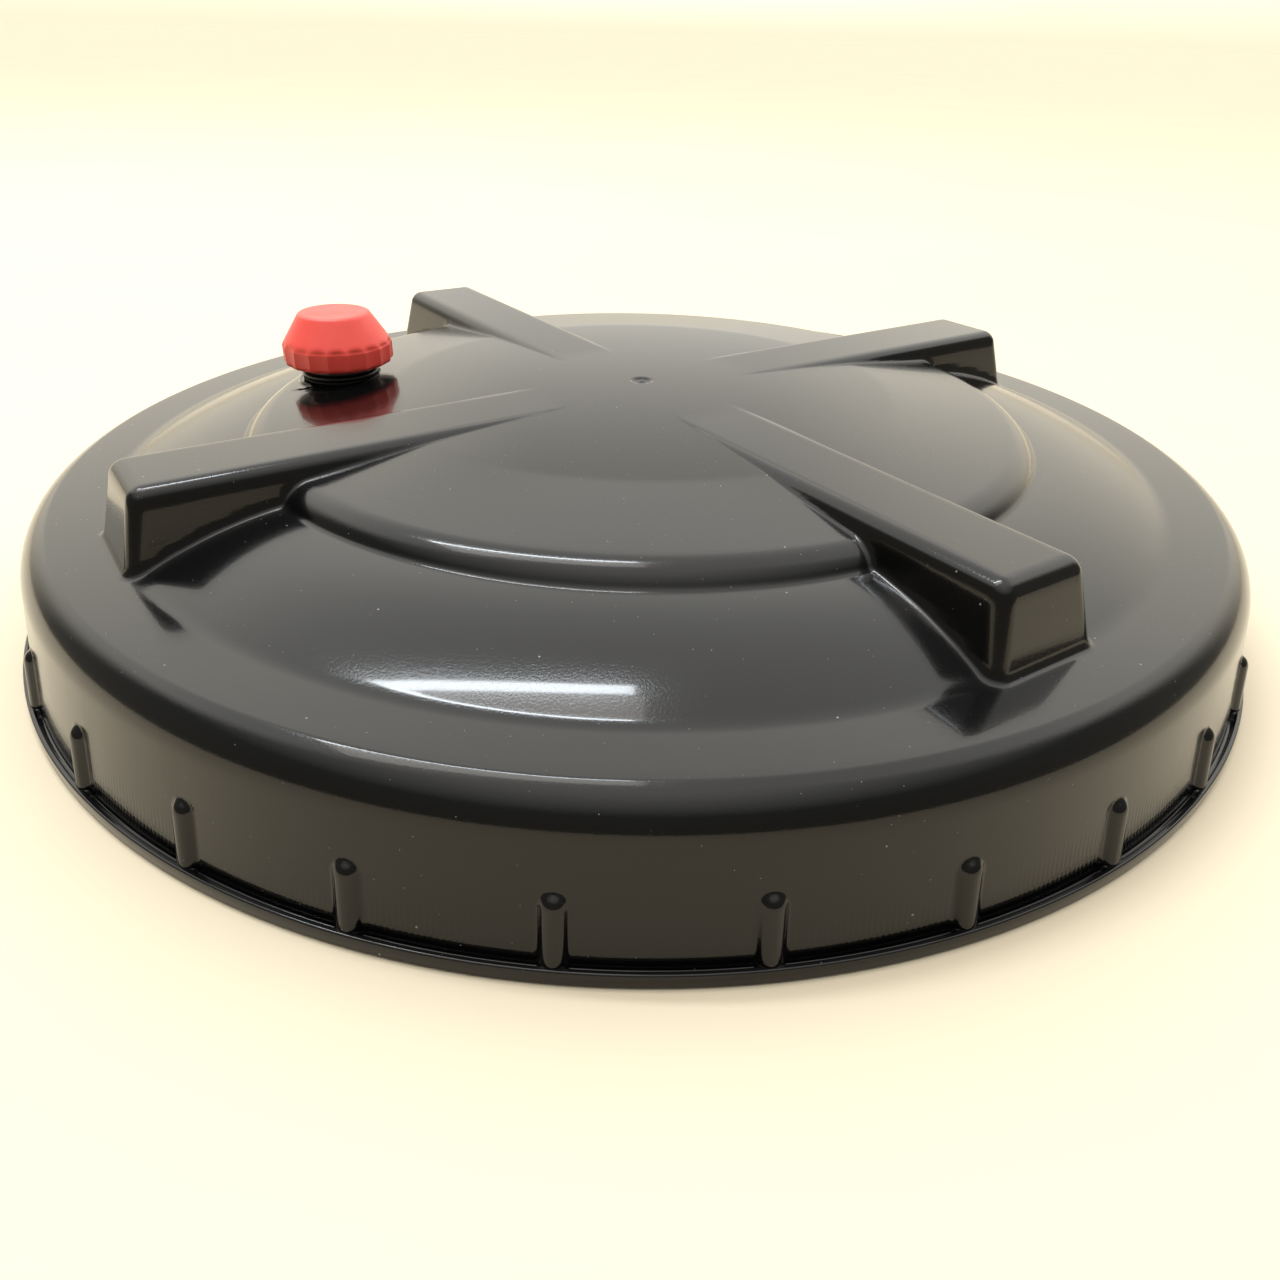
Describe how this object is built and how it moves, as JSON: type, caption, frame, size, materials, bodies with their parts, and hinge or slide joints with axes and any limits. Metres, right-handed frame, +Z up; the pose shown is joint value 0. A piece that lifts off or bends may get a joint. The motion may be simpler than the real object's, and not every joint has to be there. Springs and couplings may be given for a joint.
{
  "type": "tank neck lid",
  "caption": "Round screw-on access lid for a tank neck, with hollow cross-shaped grip ribs, an internal thread, a rim gasket and a screw-capped filtered air breather.",
  "frame": {"origin": "bottom centre of the lid, in the plane that its open rim rests on", "axes": "+Z up out of the lid's top, +X and +Y along two of the four grip ribs, breather between -X and +Y"},
  "size_m": [0.49, 0.49, 0.1002],
  "materials": {
    "shell": "gloss black moulded polyethylene with fine scuffs and dust",
    "gasket": "black EPDM rubber",
    "stem": "satin black nylon",
    "washer": "natural nylon",
    "screen": "matt black moulded grid",
    "foam": "open-cell grey filter foam",
    "cap": "satin red moulded polypropylene"
  },
  "bodies": {
    "lid": {"lid_shell": "shell", "rim_gasket": "gasket", "breather_stem": "stem", "stem_washer": "gasket", "nut_washer": "washer", "back_nut": "stem", "insect_screen": "screen"},
    "filter": {"filter_ring": "foam"},
    "cap": {"breather_cap": "cap"}
  },
  "joints": [
    {"name": "cap_lift", "type": "slide", "parent": "lid", "child": "filter", "axis": [0, 0, 1], "range_m": [0, 0.006]},
    {"name": "cap_turn", "type": "hinge", "parent": "filter", "child": "cap", "pos_m": [-0.09781, 0.08503, 0.0905], "axis": [0, 0, 1], "range_deg": [0, 720]}
  ],
  "couplings": [
    {"joint": "cap_lift", "follows": "cap_turn", "m_per_rad": 0.000477}
  ]
}
